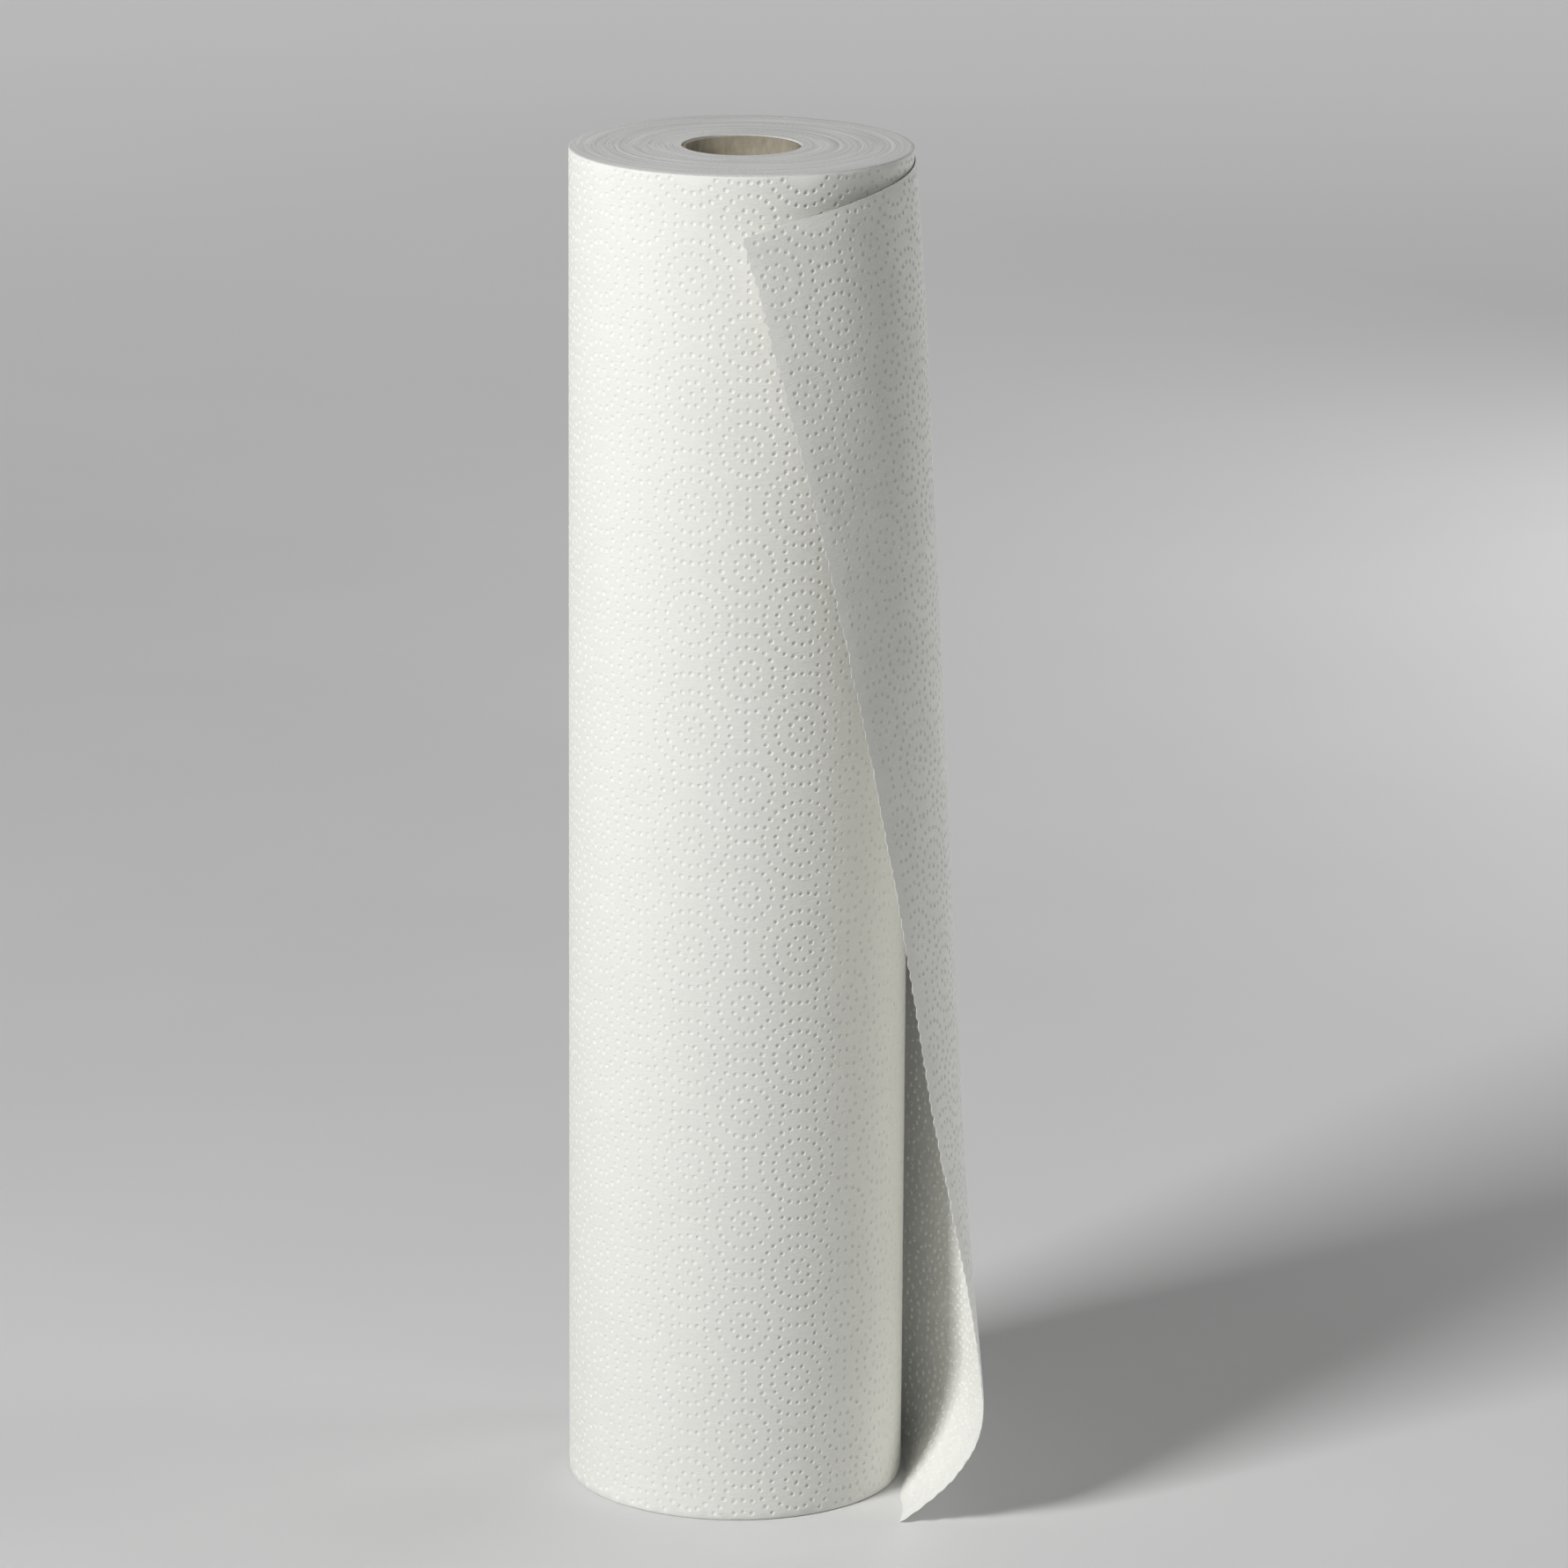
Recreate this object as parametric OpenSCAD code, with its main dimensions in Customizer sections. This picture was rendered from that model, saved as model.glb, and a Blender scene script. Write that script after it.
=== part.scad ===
// Examination table paper roll: embossed paper wound on a cardboard core.
// It stands on end with its axis on Z and its base at the origin, and its front faces -Y.
// The outer turn has been torn off along a perforation and has come loose at the front.
// Lengths are in millimetres, angles in degrees.

/* [Roll] */
// Width of the paper web, which is the roll's height as it stands
web_w = 500; // [300:10:600]
// Outer diameter of the wound paper
roll_d = 124; // [90:1:180]

/* [Core] */
// Diameter of the bore that a dispenser rod passes through
core_bore_d = 40; // [30:1:50]
// Wall of the cardboard tube
core_wall = 1.5; // [1:0.1:3]
// How far the tube's top edge lies below the paper
core_recess = 0.5; // [0.5:0.5:5]
// Clearance between the tube and the first turn
core_fit = 0.1; // [0.05:0.05:0.3]

/* [End faces] */
// Grooves between the turns on each end
turn_grooves = 14; // [6:1:20]
// Width of a groove at the end face
groove_w = 0.6; // [0.3:0.1:0.9]
// Depth of a groove
groove_depth = 0.5; // [0.2:0.1:1]
// Chamfer on the outer turn, where the web was cut to width
edge_chamfer = 0.5; // [0.2:0.1:1]

/* [Loose turn] */
// Thickness of the embossed sheet
sheet_t = 0.5; // [0.3:0.1:1]
// Length of the sheet along its top edge, from the lift line to the tear
loose_len = 174; // [130:1:190]
// Direction of the lift line, measured from the front round to the right
lift_angle = 152; // [130:1:165]
// Length over which the sheet comes clear of the turn below
lift_len = 18; // [12:1:24]
// Gap between the sheet and the turn below, once it is clear
lift_gap = 0.3; // [0.3:0.1:1]
// How much the radius of the sheet's curl exceeds the roll's at the top
top_slack = 1; // [1:0.1:5]
// How much that radius grows from the top to the floor
flare = 50; // [20:1:80]
// Angle by which the loose turn has slipped out of square
skew = 3.1; // [1:0.1:5]
// How far the whole loose turn has slid down
slip = 0.5; // [0.3:0.1:2]

/* [Foot of the sheet] */
// How far the bottom edge is tucked back under the sheet
tuck = 28.5; // [5:0.5:29]
// Height of the tucked stretch
tuck_h = 50; // [40:1:80]
// Distance from the lift line at which the tuck starts
tuck_start = 20; // [15:1:40]
// Distance from the lift line at which the tuck is full
tuck_full = 115; // [110:1:150]
// How far the torn edge curls outwards above the tuck
edge_curl = 7; // [0:0.5:12]
// Height at which that curl ends
edge_curl_h = 180; // [120:5:250]
// Distance from the lift line at which that curl starts
edge_curl_start = 92; // [70:1:110]

/* [Torn edge] */
// Depth of the notches that the perforation leaves
tear_depth = 1; // [0.4:0.1:1.5]
// Rows of facets across the web
rows = 50; // [30:2:60]
// Columns of facets along the sheet
columns = 20; // [14:1:24]

/* [Hidden] */

$fn = 96;
paper_color = [0.93, 0.93, 0.90];
board_color = [0.72, 0.68, 0.57];

roll_r = roll_d / 2;
bore_r = core_bore_d / 2;
core_r = bore_r + core_wall;
core_h = web_w - core_recess;
wound_r = core_r + core_fit;
turn_pitch = (roll_r - wound_r) / (turn_grooves + 1);

// How far the sheet's inner face starts below the surface of the turn that it leaves
root_depth = 2 * sheet_t;
// How far the buried start of the bottom edge stays above the floor
root_lift = 0.3;
// How sharply the sheet's slack gathers towards the bottom edge
gather_power = 6;
// Brings the highest value of v (1 - v)^2, which shapes the curl, to 1
hump_scale = 27 / 4;
// Notches and nubs along the torn edge to each row of facets
steps_per_row = 3;

// The loose turn is a flat strip rolled into a cone. The cone touches the roll along the lift line,
// and its apex is on that line, above the roll.
curl_r_foot = roll_r + top_slack + flare;
cone_sin = flare / web_w;
cone_cos = sqrt(1 - cone_sin * cone_sin);
apex_z = curl_r_foot / cone_sin;
lift_out = [sin(lift_angle), -cos(lift_angle)];
lift_along = [-cos(lift_angle), -sin(lift_angle)];

function clamp01(v) = max(0, min(1, v));
function ease(v) = let (k = clamp01(v)) k * k * (3 - 2 * k);

// Place on the flat strip: s along the web from its start, w across it from the top edge.
// The result is the distance from the lift line and the height.
function flat(s, w) = [
    s * cos(skew) - w * sin(skew),
    web_w - slip - s * sin(skew) - w * cos(skew)
];

// The same place on the cone: distance from the apex, angle round the cone, and height
function cone_radius(p) = norm([p.x, apex_z - p.y]);
function cone_angle(p) = atan2(p.x, apex_z - p.y) / cone_sin;
function cone_height(p) =
    apex_z - cone_radius(p) * (cone_cos * cone_cos + cone_sin * cone_sin * cos(cone_angle(p)));

// Height with the strip's slack gathered at the foot, so that the bottom edge meets the floor
function sheet_height(s, w) =
    let (
        below_floor = -cone_height(flat(s, web_w)),
        root = 1 - ease(flat(s, w).x / lift_len)
    )
    cone_height(flat(s, w)) + (below_floor + root_lift * root) * pow(w / web_w, gather_power);

// Inward shift of the tucked foot
function tuck_shift(x, z) =
    tuck * ease((x - tuck_start) / (tuck_full - tuck_start)) * pow(clamp01(1 - z / tuck_h), 2);

// Outward shift of the torn edge above the tuck
function curl_shift(x, x_end, z) =
    let (
        v = clamp01(z / edge_curl_h),
        share = max(0, x - edge_curl_start) / (x_end - edge_curl_start)
    )
    edge_curl * share * share * hump_scale * v * pow(1 - v, 2);

// Start of the sheet in row w
function sheet_start(w) = w * tan(skew);

// Point of the sheet's inner face, moved outwards by rise
function sheet_point(s, w, rise) =
    let (
        p = flat(s, w),
        x_end = flat(loose_len, w).x,
        z = sheet_height(s, w),
        a = cone_angle(p),
        r = cone_radius(p) * cone_sin,
        along = lift_along * cos(a) - lift_out * sin(a),
        out = [-along.y, along.x],
        clear = (root_depth + lift_gap) * ease(p.x / lift_len) - root_depth,
        shift = rise + clear - tuck_shift(p.x, z) + curl_shift(p.x, x_end, z),
        q = lift_out * (roll_r - r * cone_cos * (1 - cos(a))) + lift_along * r * sin(a) + out * shift
    )
    [q.x, q.y, z];

// Torn edge: every other step along it is a notch
function torn_end(step) = loose_len - (step % 2 == 1 ? tear_depth : 0);

// One face of the sheet: its columns from the start to the last but one, then the torn edge
function face_points(rise) = concat(
    [for (i = [0:columns - 1], j = [0:rows])
        let (w = web_w * j / rows, s = sheet_start(w))
        sheet_point(s + (loose_len - s) * i / columns, w, rise)],
    [for (k = [0:rows * steps_per_row])
        sheet_point(torn_end(k), web_w * k / (rows * steps_per_row), rise)]
);

face_count = columns * (rows + 1) + rows * steps_per_row + 1;

// Index of a point on the grid, and of a point on the torn edge
function at(i, j) = i * (rows + 1) + j;
function torn_at(k) = columns * (rows + 1) + k;

// Triangles of one face, wound so that the face looks outwards
outer_triangles = concat(
    [for (i = [0:columns - 2], j = [0:rows - 1], half = [0, 1])
        half == 0 ? [at(i, j), at(i, j + 1), at(i + 1, j)]
            : [at(i + 1, j), at(i, j + 1), at(i + 1, j + 1)]],
    [for (j = [0:rows - 1], k = [0:steps_per_row - 1])
        let (e = j * steps_per_row + k)
        [at(columns - 1, k == 0 ? j : j + 1), torn_at(e + 1), torn_at(e)]],
    [for (j = [0:rows - 1])
        [at(columns - 1, j), at(columns - 1, j + 1), torn_at(j * steps_per_row + 1)]]
);

// The rim of a face, once round: down the start, along the bottom, up the tear, back along the top
rim = concat(
    [for (j = [0:rows - 1]) at(0, j)],
    [for (i = [0:columns - 1]) at(i, rows)],
    [for (k = [rows * steps_per_row:-1:0]) torn_at(k)],
    [for (i = [columns - 1:-1:1]) at(i, 0)]
);

module loose_sheet() {
    points = concat(face_points(sheet_t), face_points(0));
    inner_triangles = [for (t = outer_triangles) [t[0] + face_count, t[2] + face_count, t[1] + face_count]];
    rim_triangles = [for (m = [0:len(rim) - 1], half = [0, 1])
        let (a = rim[m], b = rim[(m + 1) % len(rim)])
        half == 0 ? [a, a + face_count, b] : [b, a + face_count, b + face_count]];
    polyhedron(points, concat(outer_triangles, inner_triangles, rim_triangles), convexity = 6);
}

// Section of the wound turns, with the grooves between bands of turns on both ends
module wound_turns() {
    grooves = [for (i = [1:turn_grooves]) wound_r + i * turn_pitch];
    base = [for (c = grooves, d = [-1, 0, 1]) [c + d * groove_w / 2, d == 0 ? groove_depth : 0]];
    top = [for (n = [len(base) - 1:-1:0]) [base[n].x, web_w - base[n].y]];
    rotate_extrude()
        polygon(concat(
            [[wound_r, 0]],
            base,
            [[roll_r - edge_chamfer, 0], [roll_r, edge_chamfer]],
            [[roll_r, web_w - edge_chamfer], [roll_r - edge_chamfer, web_w]],
            top,
            [[wound_r, web_w]]
        ));
}

module paper_roll() {
    color(paper_color)
        union() {
            wound_turns();
            loose_sheet();
        }
}

module core_tube() {
    color(board_color)
        difference() {
            cylinder(h = core_h, r = core_r);
            translate([0, 0, -core_recess]) cylinder(h = web_w + core_recess, r = bore_r);
        }
}

paper_roll();
core_tube();
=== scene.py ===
# Looks of the examination table paper roll. The roll stands on its base, with its front towards -Y.
# Shapes are worked out in millimetres, and put into the scene in metres.
import math

import bmesh
import bpy
import numpy as np
from mathutils import Matrix, Vector
from mathutils.geometry import delaunay_2d_cdt


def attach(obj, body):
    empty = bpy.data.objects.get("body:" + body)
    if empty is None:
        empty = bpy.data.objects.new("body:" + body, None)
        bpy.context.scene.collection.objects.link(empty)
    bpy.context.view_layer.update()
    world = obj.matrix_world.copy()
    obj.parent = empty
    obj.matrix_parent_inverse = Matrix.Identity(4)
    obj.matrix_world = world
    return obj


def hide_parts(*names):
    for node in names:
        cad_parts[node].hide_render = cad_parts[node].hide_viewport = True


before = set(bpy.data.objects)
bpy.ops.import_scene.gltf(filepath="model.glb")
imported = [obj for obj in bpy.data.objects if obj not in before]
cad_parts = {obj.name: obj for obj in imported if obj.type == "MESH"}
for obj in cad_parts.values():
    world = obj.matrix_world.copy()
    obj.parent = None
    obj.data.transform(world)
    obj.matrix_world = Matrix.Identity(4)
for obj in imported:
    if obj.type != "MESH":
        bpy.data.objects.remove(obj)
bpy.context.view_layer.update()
rng = np.random.default_rng(7)

MM = 0.001

# Sizes of the solid part
WEB_W = 500.0
ROLL_R = 62.0
BORE_R = 20.0
CORE_R = 21.5
CORE_TOP = 499.5
WOUND_R = 21.6
TURN_GROOVES = 14
GROOVE_W = 0.6
GROOVE_DEPTH = 0.5
EDGE_CHAMFER = 0.5

# End faces: the share of a groove's depth that is open, the crown beside it and the waves of the turns
GROOVE_OPEN = (0.06, 0.2)
CROWN = 0.04
END_WOBBLE = 0.05
WAVES = (2, 3, 5, 8)
CORE_SOFT = 0.25

# The loose turn: a flat strip rolled into a cone that touches the roll along the lift line
SHEET_T = 0.5
LOOSE_LEN = 174.0
LIFT = math.radians(152.0)
LIFT_LEN = 18.0
LIFT_GAP = 0.3
TOP_SLACK = 1.0
FLARE = 50.0
SKEW = math.radians(3.1)
SLIP = 0.5
TUCK = 28.5
TUCK_H = 50.0
TUCK_START = 20.0
TUCK_FULL = 115.0
EDGE_CURL = 7.0
EDGE_CURL_H = 180.0
EDGE_CURL_START = 92.0
HUMP_SCALE = 27 / 4
ROOT_DEPTH = 2 * SHEET_T
ROOT_LIFT = 0.3
GATHER_POWER = 6

# The torn edge flicks outwards a little, most at the top
FLICK = 3.8
FLICK_LEN = 28.0

# The top edge hugs the roll where the sheet has just left it, and lifts at its free corner
HUG = 1.1
HUG_H = 70.0
HUG_START = 15.0
HUG_RISE = 60.0
HUG_END = 95.0
HUG_FALL = 50.0
CORNER_LIFT = 2.0
CORNER_LEN = 50.0
CORNER_H = 30.0

# Torn edge: nubs between the cuts of the perforation, more ragged towards the foot
TEAR_PITCH = WEB_W / 105
TEAR_DEPTH = 1.0
TEAR_REACH = 1.3
TEAR_STEP = 0.5
TEAR_SWAY = 0.1
TEAR_SWAY_LEN = 17
TEAR_SLANT = 1.8
SLANT_LEN = 180.0
NUB_SLOPE = 4
NUB_CUT = 0.4
RAGGED_TOP = 0.4
RAGGED_MORE = 0.6
RAGGED_START = 230
RAGGED_LEN = 200
FRAY = 0.2
DRIFT = 0.6
DRIFT_SPAN = 13
CORNER_CUT = 0.5

# The sheet's edges: the share of its thickness there, and how far in it is full
THIN_SHARE = 0.3
THIN_LEN = 5
THIN_START = 0.5

# Embossing: dotted rings round staggered centres, and short dotted rows between them
COLUMN = 20.2
PERIOD = 81.6
RINGS = ((0.0, 1), (4.5, 8), (9.6, 18), (14.2, 26))
ROW_DOTS = 5
ROW_PITCH = 3.2
UNEVEN = 0.9
DOT_R = 1.12
DOT_SIDES = 6
DOT_DEPTH = 0.78
DOT_LEAST = 2.6
DOT_STRAY = 0.06
DOT_SIZES = (0.9, 1.08)
DOT_DEPTHS = (0.8, 1.1)
DOT_DIGITS = 2
PATTERN_ARC = 3.1
PATTERN_Z = 13.2
WALL_MARGIN = DOT_R + 0.35
SHEET_MARGIN = DOT_R + 0.5
TEAR_MARGIN = 0.6

# Fineness of the meshes
ROUND = 144
WALL_POINTS = 180
ROOT_STEP = 3.0
ROOT_ZIGZAG = 0.05
EDGE_STEP = 2.0
JOIN = 0.004
CLOSE = 1e-5
SHARP = 50.0
CORE_SHARP = 60.0

# Floor
FLOOR_R = 12000.0
FLOOR_SIDES = 96
FLOOR_NEAR = 300.0
FLOOR_FAR = 3800.0
FLOOR_GLOW = 0.34


def add_object(name, data):
    obj = bpy.data.objects.new(name, data)
    bpy.context.scene.collection.objects.link(obj)
    return obj


def mesh_object(name, verts, faces, materials, indices=None, web=None, pits=None, sharp=SHARP):
    """Object from points in millimetres. Points that coincide are joined, and the rims of pits are sharp.
    web gives each point's place on the paper, for the grain of the material."""
    verts = np.asarray(verts)
    web = verts if web is None else web
    pits = np.zeros(len(verts)) if pits is None else pits
    mesh = bpy.data.meshes.new(name)
    mesh.from_pydata((verts * MM).tolist(), [], faces)
    if indices is not None:
        mesh.polygons.foreach_set("material_index", np.asarray(indices, np.int32))
    place = mesh.attributes.new("web", "FLOAT_VECTOR", "POINT")
    place.data.foreach_set("vector", web.astype(np.float32).ravel())
    pit = mesh.attributes.new("pit", "INT", "POINT")
    pit.data.foreach_set("value", pits.astype(np.int32))
    bm = bmesh.new()
    bm.from_mesh(mesh)
    bmesh.ops.remove_doubles(bm, verts=bm.verts, dist=JOIN * MM)
    bmesh.ops.recalc_face_normals(bm, faces=bm.faces)
    bm.faces.index_update()
    layer = bm.verts.layers.int["pit"]
    in_pit = {f.index: any(v[layer] for v in f.verts) for f in bm.faces}
    limit = math.cos(math.radians(sharp))
    for e in bm.edges:
        if len(e.link_faces) == 2:
            f, g = e.link_faces
            e.smooth = in_pit[f.index] == in_pit[g.index] and f.normal.dot(g.normal) > limit
    for f in bm.faces:
        f.smooth = True
    bm.to_mesh(mesh)
    bm.free()
    for material in materials:
        mesh.materials.append(material)
    return add_object(name, mesh)


# Embossing

def tile_dots():
    """Dots of one repeat of the pattern: an even column and an uneven one, side by side."""
    half = PERIOD / 2
    uneven = (half / 2 - UNEVEN, 3 * half / 2 + UNEVEN)
    centres = [(COLUMN, 0.0), (COLUMN, half)] + [(0.0, z) for z in uneven]
    rows = [(COLUMN, half / 2, False), (COLUMN, 3 * half / 2, False), (0.0, half, True), (0.0, 0.0, False)]
    dots = []
    for radius, count in RINGS:
        for cx, cz in centres:
            for k in range(count):
                a = 2 * math.pi * (k + 0.5) / count
                dots.append((cx + radius * math.cos(a), cz + radius * math.sin(a)))
    for cx, cz, upright in rows:
        for k in range(ROW_DOTS):
            d = (k - (ROW_DOTS - 1) / 2) * ROW_PITCH
            dots.append((cx, cz + d) if upright else (cx + d, cz))
    size = np.array([2 * COLUMN, PERIOD])
    kept = np.zeros((0, 2))
    for dot in np.array(dots) % size:
        apart = np.abs(kept - dot)
        apart = np.minimum(apart, size - apart)
        if not len(kept) or np.hypot(apart[:, 0], apart[:, 1]).min() > DOT_LEAST:
            kept = np.vstack([kept, dot])
    return kept


TILE = tile_dots()


def repeats(low, high, start, size):
    """Starts of the repeats of the pattern that reach from low to high."""
    first = math.floor((low - start) / size) - 1
    last = math.ceil((high - start) / size) + 1
    return start + size * np.arange(first, last)


def pattern(x_lo, x_hi, z_lo, z_hi):
    """All dots in a rectangle of the web."""
    x = repeats(x_lo, x_hi, PATTERN_ARC, 2 * COLUMN)[:, None, None] + TILE[:, 0]
    z = repeats(z_lo, z_hi, PATTERN_Z, PERIOD)[None, :, None] + TILE[:, 1]
    x, z = np.broadcast_arrays(x, z)
    x, z = x.ravel(), z.ravel()
    inside = (x > x_lo) & (x < x_hi) & (z > z_lo) & (z < z_hi)
    dots = np.stack([x[inside], z[inside]], 1)
    dots += rng.normal(0, DOT_STRAY, dots.shape)
    return dots.round(DOT_DIGITS)


def embossed(dots, loop):
    """Triangles over a flat outline, with a pit at each dot. Returns points, triangles and depths."""
    turn = rng.uniform(0, 2 * math.pi, len(dots))
    a = turn[:, None] + 2 * math.pi * np.arange(DOT_SIDES) / DOT_SIDES
    size = DOT_R * rng.uniform(*DOT_SIZES, (len(dots), 1))
    rims = np.stack([dots[:, :1] + size * np.cos(a), dots[:, 1:] + size * np.sin(a)], -1).reshape(-1, 2)
    flat = np.vstack([loop, dots, rims])
    edges = [(k, (k + 1) % len(loop)) for k in range(len(loop))]
    points, _, triangles, *_ = delaunay_2d_cdt([Vector(p) for p in flat], edges, [], 1, CLOSE, False)
    points = np.array([p[:] for p in points])

    def key(p):
        return round(p[0], DOT_DIGITS), round(p[1], DOT_DIGITS)

    pits = {key(p) for p in dots.tolist()}
    depth = np.array([DOT_DEPTH if key(p) in pits else 0.0 for p in points.tolist()])
    depth *= rng.uniform(*DOT_DEPTHS, len(depth))
    return points, [tuple(t) for t in triangles], depth


def line(start, end, step):
    """Points from start up to, but without, end."""
    count = max(1, round(math.dist(start, end) / step))
    t = np.arange(count)[:, None] / count
    return np.array(start) + t * (np.array(end) - np.array(start))


# Wound turns

def end_profile():
    """Radii and depths across an end face, with the grooves between bands of turns."""
    pitch = (ROLL_R - WOUND_R) / (TURN_GROOVES + 1)
    profile = [(WOUND_R, 0.0)]
    for n in range(1, TURN_GROOVES + 1):
        c = WOUND_R + n * pitch
        crown = CROWN * rng.uniform(0, 1)
        depth = GROOVE_DEPTH * rng.uniform(*GROOVE_OPEN)
        profile += [(c - GROOVE_W / 2, 0.0), (c, depth), (c + GROOVE_W / 2, crown)]
    profile += [(ROLL_R - EDGE_CHAMFER, 0.0), (ROLL_R, EDGE_CHAMFER)]
    return profile


def lathe(profile, wobble=0.0):
    """Grid of points and faces from a profile of radius and height."""
    a = LIFT + 2 * math.pi * np.arange(ROUND) / ROUND
    verts = []
    for k, (r, z) in enumerate(profile):
        waves = sum(rng.uniform(-1, 1) * np.sin(m * a + rng.uniform(0, 6)) for m in WAVES) / 2
        rise = wobble * waves * (0 < k < len(profile) - 2)
        verts.append(np.stack([r * np.sin(a), -r * np.cos(a), z + rise], 1))
    faces = []
    for k in range(len(profile) - 1):
        for i in range(ROUND):
            j = (i + 1) % ROUND
            faces.append((k * ROUND + i, k * ROUND + j, (k + 1) * ROUND + j, (k + 1) * ROUND + i))
    return np.vstack(verts), faces


def wound_turns(materials):
    arc_hi = LIFT * ROLL_R
    arc_lo = arc_hi - 2 * math.pi * ROLL_R
    z_lo = EDGE_CHAMFER
    z_hi = WEB_W - EDGE_CHAMFER
    # The wall's rim has the same corners as the end faces
    around = np.linspace(arc_lo, arc_hi, ROUND + 1)
    up = np.linspace(z_lo, z_hi, WALL_POINTS)[1:-1]
    loop = np.vstack([
        np.stack([around, np.full_like(around, z_lo)], 1),
        np.stack([np.full_like(up, arc_hi), up], 1),
        np.stack([around[::-1], np.full_like(around, z_hi)], 1),
        np.stack([np.full_like(up, arc_lo), up[::-1]], 1),
    ])
    dots = pattern(arc_lo + WALL_MARGIN, arc_hi - WALL_MARGIN, z_lo + WALL_MARGIN, z_hi - WALL_MARGIN)
    flat, triangles, depth = embossed(dots, loop)
    a = flat[:, 0] / ROLL_R
    r = ROLL_R - depth
    verts = [np.stack([r * np.sin(a), -r * np.cos(a), flat[:, 1]], 1)]
    pits = [depth > 0]
    faces = list(triangles)
    indices = [0] * len(faces)
    base = end_profile()
    top = [(r, WEB_W - d) for r, d in base]
    hole = [(WOUND_R, 0.0), (WOUND_R, WEB_W / 2), (WOUND_R, WEB_W)]
    for section, wobble in ((top, END_WOBBLE), (base, 0.0), (hole, 0.0)):
        points, quads = lathe(section, wobble)
        start = sum(len(v) for v in verts)
        verts.append(points)
        pits.append(np.zeros(len(points), bool))
        faces += [tuple(start + k for k in q) for q in quads]
        indices += [1] * len(quads)
    return mesh_object("wound_turns", np.vstack(verts), faces, materials, indices, pits=np.concatenate(pits))


# Loose turn

def ease(v):
    k = np.clip(v, 0, 1)
    return k * k * (3 - 2 * k)


def strip(s, w):
    """Distance from the lift line and height of a place on the flat strip."""
    return (s * math.cos(SKEW) - w * math.sin(SKEW),
            WEB_W - SLIP - s * math.sin(SKEW) - w * math.cos(SKEW))


def sheet_points(s, w, rise):
    """Places on the sheet's inner face, moved outwards by rise."""
    cone_sin = FLARE / WEB_W
    cone_cos = math.sqrt(1 - cone_sin ** 2)
    apex = (ROLL_R + TOP_SLACK + FLARE) / cone_sin

    def cone(x, h):
        rho = np.hypot(x, apex - h)
        angle = np.arctan2(x, apex - h) / cone_sin
        return rho, angle, apex - rho * (cone_cos ** 2 + cone_sin ** 2 * np.cos(angle))

    x, h = strip(s, w)
    rho, angle, z = cone(x, h)
    below = -cone(*strip(s, np.full_like(w, WEB_W)))[2]
    z = z + (below + ROOT_LIFT * (1 - ease(x / LIFT_LEN))) * (w / WEB_W) ** GATHER_POWER
    x_end = strip(np.full_like(w, LOOSE_LEN), w)[0]
    tuck = TUCK * ease((x - TUCK_START) / (TUCK_FULL - TUCK_START)) * np.clip(1 - z / TUCK_H, 0, 1) ** 2
    v = np.clip(z / EDGE_CURL_H, 0, 1)
    out_share = np.clip((x - EDGE_CURL_START) / (x_end - EDGE_CURL_START), 0, None)
    curl = EDGE_CURL * out_share ** 2 * HUMP_SCALE * v * (1 - v) ** 2
    clear = (ROOT_DEPTH + LIFT_GAP) * ease(x / LIFT_LEN) - ROOT_DEPTH
    flick = FLICK * np.clip((s - LOOSE_LEN) / FLICK_LEN + 1, 0, None) ** 2 * z / WEB_W
    hug = HUG * np.clip(1 - w / HUG_H, 0, 1) ** 2
    hug = hug * ease((s - HUG_START) / HUG_RISE) * (1 - ease((s - HUG_END) / HUG_FALL))
    lift = np.clip((s - LOOSE_LEN) / CORNER_LEN + 1, 0, None) * np.clip(1 - w / CORNER_H, 0, 1)
    shift = rise + clear - tuck + curl + flick - hug + CORNER_LIFT * lift ** 2
    out = np.array([math.sin(LIFT), -math.cos(LIFT)])
    along = np.array([-math.cos(LIFT), -math.sin(LIFT)])
    tx = along[0] * np.cos(angle) - out[0] * np.sin(angle)
    ty = along[1] * np.cos(angle) - out[1] * np.sin(angle)
    r = rho * cone_sin
    back = ROLL_R - r * cone_cos * (1 - np.cos(angle))
    side = r * np.sin(angle)
    return np.stack([out[0] * back + along[0] * side - ty * shift,
                     out[1] * back + along[1] * side + tx * shift, z], 1)


def torn_edge():
    """The torn edge from the foot to the top: nubs between the cuts of the perforation, with ragged ends."""
    w = np.arange(WEB_W, 0, -TEAR_STEP)
    phase = (w / TEAR_PITCH + TEAR_SWAY * np.sin(w / TEAR_SWAY_LEN)) % 1
    nub = np.clip(np.minimum(phase, 1 - phase) * NUB_SLOPE - NUB_CUT, 0, 1)
    rough = rng.uniform(-1, 1, len(w))
    loose = rng.uniform(-1, 1, len(w) + DRIFT_SPAN - 1)
    slow = np.convolve(loose, np.ones(DRIFT_SPAN) / DRIFT_SPAN, "valid")
    ragged = RAGGED_TOP + RAGGED_MORE * ease((w - RAGGED_START) / RAGGED_LEN)
    s = LOOSE_LEN - ragged * TEAR_DEPTH * (1 - nub) * TEAR_REACH + FRAY * rough + (DRIFT + ragged) * slow
    s -= TEAR_SLANT * np.clip(1 - w / SLANT_LEN, 0, 1)
    s[0] = LOOSE_LEN
    return np.stack([s, w], 1)


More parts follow.
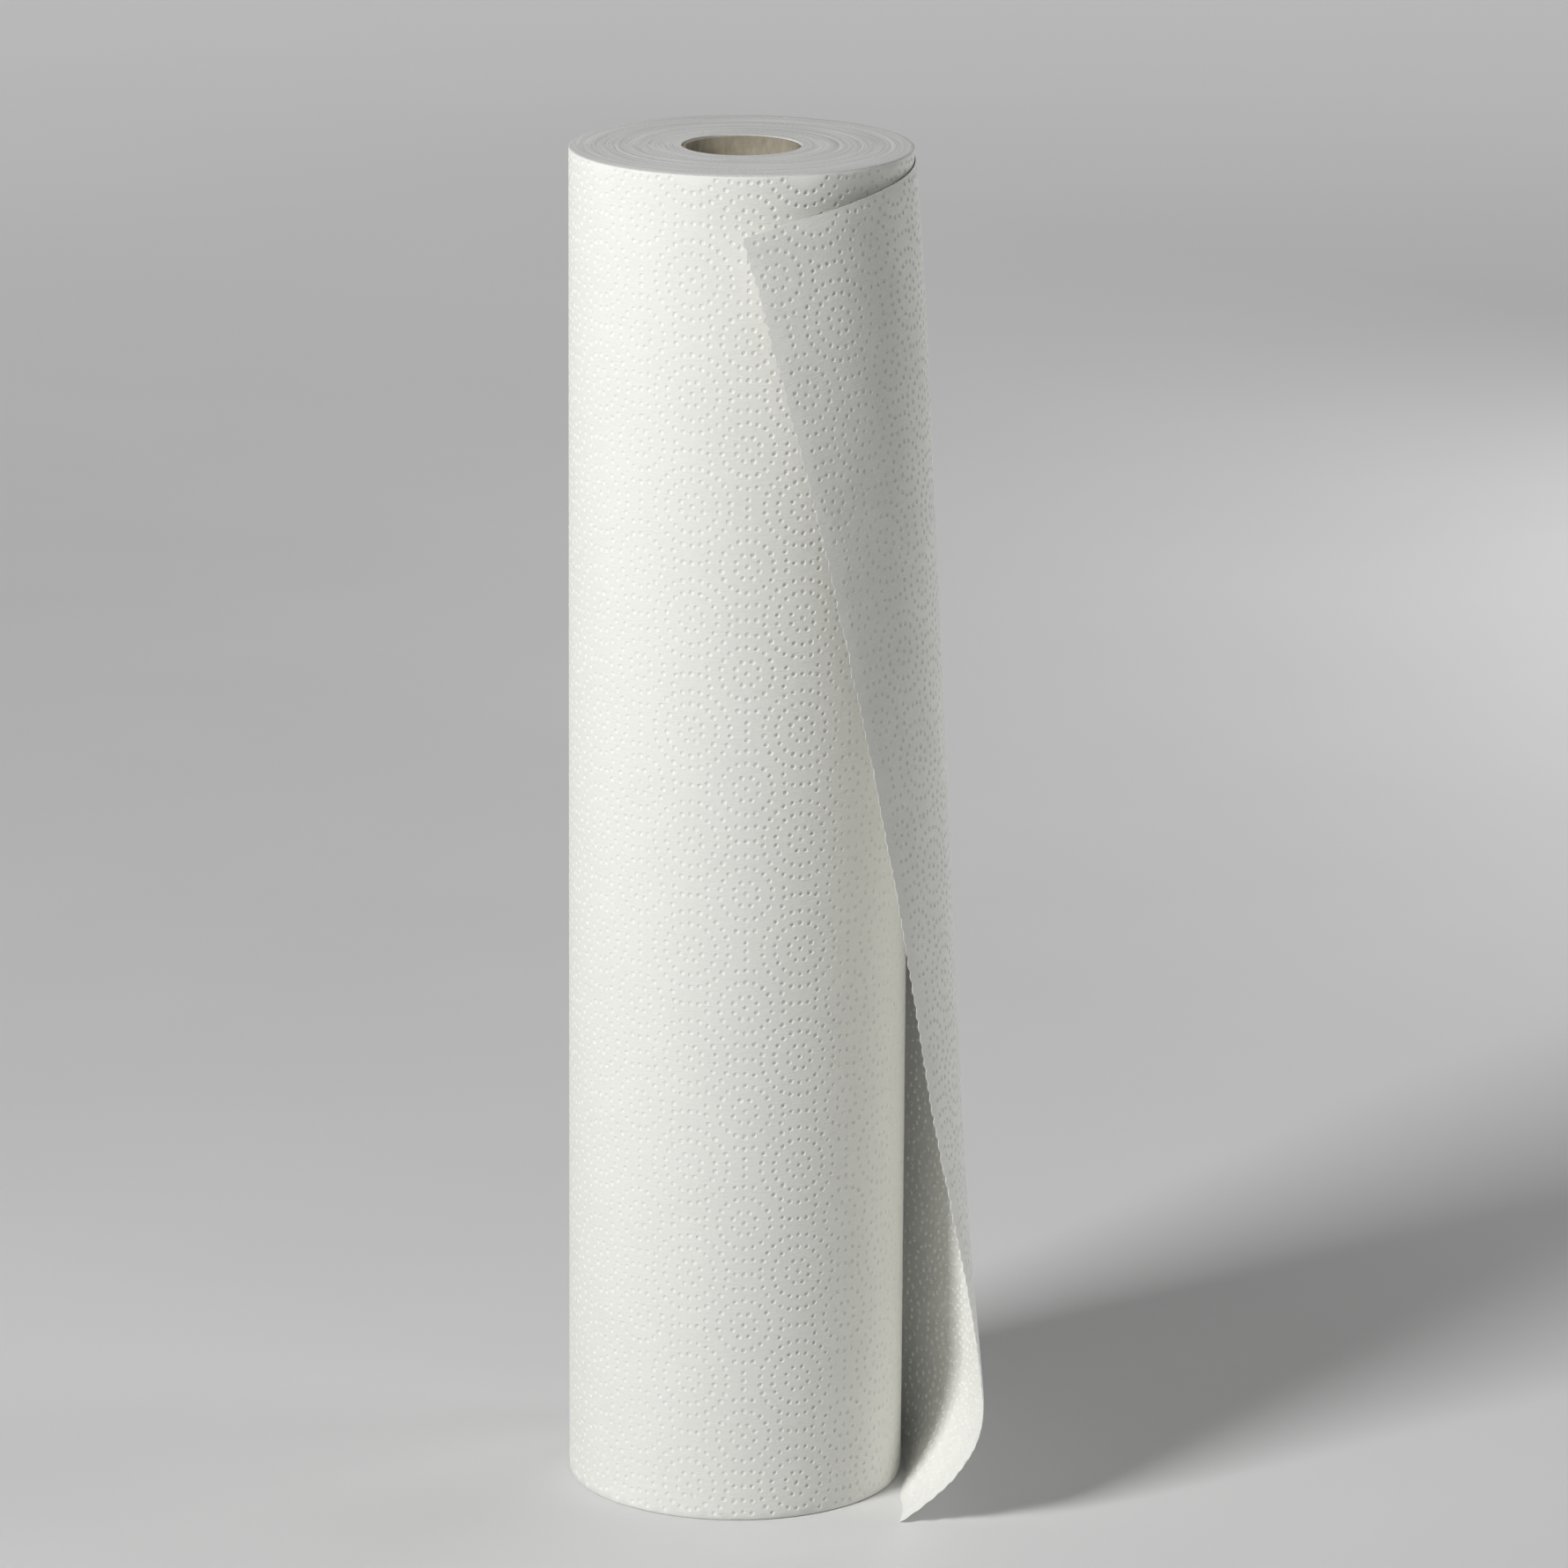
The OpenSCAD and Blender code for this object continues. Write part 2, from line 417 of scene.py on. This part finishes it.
def loose_turn(materials):
    start = np.array([0.0, 0.0])
    foot = np.array([WEB_W * math.tan(SKEW), WEB_W])
    root = line(start, foot, ROOT_STEP)
    root[1::2, 0] += ROOT_ZIGZAG
    corner = (LOOSE_LEN - TEAR_SLANT - CORNER_CUT, 0.0)
    tear = np.vstack([torn_edge(), corner])
    loop = np.vstack([
        root,
        line(foot, (LOOSE_LEN, WEB_W), EDGE_STEP),
        tear,
        line(corner, start, EDGE_STEP)[1:],
    ])
    s_hi = LOOSE_LEN - TEAR_SLANT - TEAR_DEPTH - SHEET_MARGIN - TEAR_MARGIN
    dots = pattern(SHEET_MARGIN, s_hi, SHEET_MARGIN, WEB_W - SHEET_MARGIN)
    dots[:, 1] = (WEB_W - dots[:, 1]).round(DOT_DIGITS)
    dots = dots[dots[:, 0] > dots[:, 1] * math.tan(SKEW) + SHEET_MARGIN]
    flat, triangles, depth = embossed(dots, loop)
    # Triangles outside the tear and the lift line go
    middle = flat[np.array(triangles)].mean(1)
    limit = np.interp(middle[:, 1], tear[::-1, 1], tear[::-1, 0])
    root_line = middle[:, 1] * math.tan(SKEW)
    inside = (middle[:, 0] < limit) & (middle[:, 0] > root_line)
    triangles = [t for t, keep in zip(triangles, inside) if keep]
    s, w = flat[:, 0], flat[:, 1]
    # The sheet thins out towards its cut and torn edges
    inset = np.minimum(np.minimum(w, WEB_W - w), LOOSE_LEN - s)
    thick = SHEET_T * (THIN_SHARE + (1 - THIN_SHARE) * ease((inset + THIN_START) / THIN_LEN))
    outer = sheet_points(s, w, thick - depth)
    inner = sheet_points(s, w, -depth)
    count = len(flat)
    sides = dict.fromkeys(side for a, b, c in triangles for side in ((a, b), (b, c), (c, a)))
    rim = [(a, b) for a, b in sides if (b, a) not in sides]
    faces = triangles + [(a + count, c + count, b + count) for a, b, c in triangles]
    faces += [(b, a, a + count, b + count) for a, b in rim]
    web = np.stack([s, np.zeros(count), WEB_W - w], 1)
    return mesh_object("loose_turn", np.vstack([outer, inner]), faces, materials,
                       web=np.vstack([web, web]), pits=np.tile(depth > 0, 2))


# Core

def core_tube(materials):
    """The cardboard tube, with softened rims."""
    section = [
        (BORE_R + CORE_SOFT, 0.0),
        (CORE_R - CORE_SOFT, 0.0),
        (CORE_R, CORE_SOFT),
        (CORE_R, CORE_TOP - CORE_SOFT),
        (CORE_R - CORE_SOFT, CORE_TOP),
        (BORE_R + CORE_SOFT, CORE_TOP),
        (BORE_R, CORE_TOP - CORE_SOFT),
        (BORE_R, CORE_SOFT),
        (BORE_R + CORE_SOFT, 0.0),
    ]
    points, quads = lathe(section)
    return mesh_object("core_tube_board", points, quads, materials, sharp=CORE_SHARP)


# Materials

class Nodes:
    """Short forms for a material's nodes."""

    def __init__(self, name):
        self.material = bpy.data.materials.new(name)
        self.material.use_nodes = True
        self.tree = self.material.node_tree
        self.shader = self.tree.nodes["Principled BSDF"]
        self.coords = self.tree.nodes.new("ShaderNodeTexCoord").outputs["Object"]

    def link(self, a, b):
        self.tree.links.new(a, b)

    def put(self, socket, value):
        if isinstance(value, bpy.types.NodeSocket):
            self.link(value, socket)
        else:
            socket.default_value = value

    def surface(self, **values):
        """Sets the shader's inputs. In their names, underscores stand for spaces."""
        for name, value in values.items():
            self.put(self.shader.inputs[name.replace("_", " ")], value)

    def math(self, op, a, b=0.0):
        node = self.tree.nodes.new("ShaderNodeMath")
        node.operation = op
        self.put(node.inputs[0], a)
        self.put(node.inputs[1], b)
        return node.outputs[0]

    def times(self, a, b):
        return self.math("MULTIPLY", a, b)

    def blend(self, first, *others):
        """Sum of values, each with its share."""
        total = self.times(*first)
        for other in others:
            total = self.math("ADD", total, self.times(*other))
        return total

    def rise(self, value, low, high):
        """From 0 at low to 1 at high, smoothly."""
        node = self.tree.nodes.new("ShaderNodeMapRange")
        node.interpolation_type = "SMOOTHSTEP"
        self.link(value, node.inputs["Value"])
        node.inputs["From Min"].default_value = low
        node.inputs["From Max"].default_value = high
        return node.outputs["Result"]

    def stretch(self, scale, source):
        node = self.tree.nodes.new("ShaderNodeMapping")
        node.inputs["Scale"].default_value = scale
        self.link(source, node.inputs["Vector"])
        return node.outputs[0]

    def noise(self, vector, scale=1.0, detail=4.0, rough=0.55):
        node = self.tree.nodes.new("ShaderNodeTexNoise")
        node.inputs["Scale"].default_value = scale
        node.inputs["Detail"].default_value = detail
        node.inputs["Roughness"].default_value = rough
        self.link(vector, node.inputs["Vector"])
        return node.outputs["Fac"]

    def ramp(self, value, low, dark, high, light):
        """From the dark colour at low to the light one at high."""
        node = self.tree.nodes.new("ShaderNodeValToRGB")
        for stop, place, colour in zip(node.color_ramp.elements, (low, high), (dark, light)):
            stop.position = place
            stop.color = (*colour, 1)
        self.link(value, node.inputs["Fac"])
        return node.outputs["Color"]

    def bump(self, height, distance, normal=None):
        node = self.tree.nodes.new("ShaderNodeBump")
        node.inputs["Distance"].default_value = distance
        node.inputs["Strength"].default_value = 1.0
        self.link(height, node.inputs["Height"])
        if normal:
            self.link(normal, node.inputs["Normal"])
        return node.outputs["Normal"]

    def polar(self):
        """Radius, height and the angle round the axis, in metres and radians."""
        split = self.tree.nodes.new("ShaderNodeSeparateXYZ")
        self.link(self.coords, split.inputs[0])
        x, y, z = split.outputs
        radius = self.math("SQRT", self.math("ADD", self.times(x, x), self.times(y, y)))
        return radius, z, self.math("ARCTAN2", y, x)

    def vector(self, x, y, z):
        node = self.tree.nodes.new("ShaderNodeCombineXYZ")
        for socket, value in zip(node.inputs, (x, y, z)):
            self.put(socket, value)
        return node.outputs[0]


def paper(name, dark, light, grain):
    """Creped tissue. Dark and light are the ends of its mottle, and grain is the depth of its fibres."""
    n = Nodes(name)
    web = n.tree.nodes.new("ShaderNodeAttribute")
    web.attribute_name = "web"
    fibre = n.noise(n.coords, scale=1300, rough=0.6)
    cloud = n.noise(n.coords, scale=60)
    crepe = n.noise(n.stretch((0.22, 0.22, 1.5), web.outputs["Vector"]), detail=3, rough=0.5)
    mottle = n.blend((fibre, 0.6), (cloud, 0.4))
    creased = n.bump(crepe, 0.14 * MM)
    n.surface(
        Base_Color=n.ramp(mottle, 0.3, dark, 0.7, light),
        Roughness=0.92,
        Specular_IOR_Level=0.1,
        Normal=n.bump(fibre, grain * MM, creased),
    )
    return n


def wound_paper():
    return paper("paper", (0.85, 0.85, 0.81), (0.905, 0.905, 0.862), 0.08).material


def loose_paper():
    """The single sheet, which lets some light through."""
    n = paper("loose_paper", (0.80, 0.80, 0.762), (0.94, 0.94, 0.895), 0.12)
    n.surface(Subsurface_Weight=0.25, Subsurface_Radius=(1, 1, 1), Subsurface_Scale=1.5 * MM)
    return n.material


def cut_ends_with_painted_shade():
    """The cut edges of the turns, as fine rings with broader bands between them. Their colour is darker than
    the paper's face: partly for the porous end grain, partly painted shade for the top face, which gets less
    light from above.
    """
    n = Nodes("paper_ends_with_painted_shade")
    radius, height, angle = n.polar()
    rings = n.noise(n.vector(n.times(radius, 2600), n.times(angle, 1.2), height), detail=3)
    bands = n.noise(n.vector(n.times(radius, 420), n.times(angle, 0.6), height))
    grain = n.noise(n.coords, scale=1100, rough=0.65)
    mottle = n.blend((rings, 0.4), (bands, 0.3), (grain, 0.3))
    turned = n.bump(rings, 0.2 * MM)
    n.surface(
        # Darker than the paper: partly the end grain, partly painted shade for the top face
        Base_Color=n.ramp(mottle, 0.36, (0.53, 0.53, 0.52), 0.64, (0.86, 0.86, 0.85)),
        Roughness=0.95,
        Specular_IOR_Level=0.15,
        Normal=n.bump(grain, 0.2 * MM, turned),
    )
    return n.material


def cardboard():
    """Grey board, wound in a spiral whose seam shows as a dark line."""
    turns_per_metre = 9.0
    turns_per_radian = 0.5 / math.pi
    seam_half = 0.006
    n = Nodes("cardboard")
    radius, height, angle = n.polar()
    wind = n.math("FRACT", n.blend((height, turns_per_metre), (angle, turns_per_radian)))
    seam = n.math("LESS_THAN", n.math("ABSOLUTE", n.math("SUBTRACT", wind, 0.5)), seam_half)
    fibre = n.noise(n.stretch((500, 500, 200), n.coords), detail=5, rough=0.6)
    cloud = n.noise(n.coords, scale=90)
    mottle = n.math("SUBTRACT", n.blend((fibre, 0.6), (cloud, 0.4)), n.times(seam, 0.25))
    n.surface(
        Base_Color=n.ramp(mottle, 0.25, (0.20, 0.175, 0.13), 0.7, (0.40, 0.36, 0.28)),
        Roughness=0.85,
        Specular_IOR_Level=0.3,
        Normal=n.bump(mottle, 0.2 * MM),
    )
    return n.material


pieces = [
    (wound_turns([wound_paper(), cut_ends_with_painted_shade()]), "paper_roll", "paper"),
    (loose_turn([loose_paper()]), "paper_roll", "paper"),
    (core_tube([cardboard()]), "core_tube", "cardboard"),
]
for piece, node, slot in pieces:
    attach(piece, "root")
    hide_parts(node)


# Floor

def floor():
    """Round pale floor. Far from the roll it has a painted glow, which only camera, glossy and transmission
    rays see, so it looks paler without lighting anything.
    """
    n = Nodes("floor")
    cloud = n.noise(n.coords, scale=3.0, detail=3)
    far = n.rise(n.polar()[0], FLOOR_NEAR * MM, FLOOR_FAR * MM)
    rays = n.tree.nodes.new("ShaderNodeLightPath").outputs
    seen = n.math("MAXIMUM", rays["Is Camera Ray"], rays["Is Glossy Ray"])
    seen = n.math("MAXIMUM", seen, rays["Is Transmission Ray"])
    n.surface(
        Base_Color=n.ramp(cloud, 0.3, (0.72, 0.72, 0.72), 0.7, (0.75, 0.75, 0.75)),
        Roughness=0.7,
        Specular_IOR_Level=0.2,
        # Painted light: a glow that grows with the distance from the roll
        Emission_Color=(1, 1, 1, 1),
        Emission_Strength=n.times(n.times(seen, far), FLOOR_GLOW),
    )
    a = 2 * math.pi * np.arange(FLOOR_SIDES) / FLOOR_SIDES
    rim = np.stack([FLOOR_R * np.cos(a), FLOOR_R * np.sin(a), np.zeros(FLOOR_SIDES)], 1)
    mesh = bpy.data.meshes.new("floor")
    mesh.from_pydata((rim * MM).tolist(), [], [tuple(range(FLOOR_SIDES))])
    mesh.materials.append(n.material)
    add_object("floor", mesh)


floor()


# Light

AIM = Vector((0.02, -0.01, 0.25))


def lamp(name, azimuth, elevation, distance, size, power):
    """Square lamp that looks at the roll. Azimuth 0 is in front, and 90 is on the right."""
    a = math.radians(azimuth)
    e = math.radians(elevation)
    way = Vector((math.sin(a) * math.cos(e), -math.cos(a) * math.cos(e), math.sin(e)))
    light = bpy.data.lights.new(name, "AREA")
    light.size = size
    light.energy = power
    obj = add_object(name, light)
    obj.location = AIM + way * distance
    obj.rotation_euler = way.to_track_quat("Z", "Y").to_euler()


lamp("key", azimuth=-47, elevation=38, distance=3.2, size=0.8, power=84)
lamp("bounce", azimuth=92, elevation=24, distance=2.0, size=0.6, power=5)
lamp("rim", azimuth=140, elevation=8, distance=2.0, size=0.9, power=12)


def studio():
    """Weak light from all round, behind which the camera sees a pale wall."""
    world = bpy.data.worlds.new("studio")
    world.use_nodes = True
    bpy.context.scene.world = world
    nodes = world.node_tree.nodes
    links = world.node_tree.links
    light = nodes["Background"]
    light.inputs["Color"].default_value = (1, 1, 1, 1)
    light.inputs["Strength"].default_value = 0.08
    wall = nodes.new("ShaderNodeBackground")
    wall.inputs["Color"].default_value = (0.5, 0.5, 0.5, 1)
    rays = nodes.new("ShaderNodeLightPath").outputs
    seen = rays["Is Camera Ray"]
    for name in ("Is Glossy Ray", "Is Transmission Ray"):
        either = nodes.new("ShaderNodeMath")
        either.operation = "MAXIMUM"
        links.new(seen, either.inputs[0])
        links.new(rays[name], either.inputs[1])
        seen = either.outputs[0]
    mix = nodes.new("ShaderNodeMixShader")
    links.new(seen, mix.inputs[0])
    links.new(light.outputs[0], mix.inputs[1])
    links.new(wall.outputs[0], mix.inputs[2])
    links.new(mix.outputs[0], nodes["World Output"].inputs["Surface"])


studio()


# Camera

LENS = 177.45
SENSOR = 36.0
NEAR = 0.05
FAR = 50.0
PLACE = Vector((1.6439, -2734.80, 985.26)) * MM
YAW = 0.0055
PITCH = 0.2581
ROLL = 0.0065

ahead = Vector((math.sin(YAW) * math.cos(PITCH), math.cos(YAW) * math.cos(PITCH), -math.sin(PITCH)))
level = Vector((math.cos(YAW), -math.sin(YAW), 0))
upward = level.cross(ahead)
right = math.cos(ROLL) * level + math.sin(ROLL) * upward
top = -math.sin(ROLL) * level + math.cos(ROLL) * upward
lens = bpy.data.cameras.new("camera")
lens.sensor_width = SENSOR
lens.lens = LENS
lens.clip_start = NEAR
lens.clip_end = FAR
camera = add_object("camera", lens)
camera.matrix_world = Matrix.Translation(PLACE) @ Matrix((right, top, -ahead)).transposed().to_4x4()
bpy.context.scene.camera = camera

bpy.context.scene.view_settings.view_transform = "Standard"
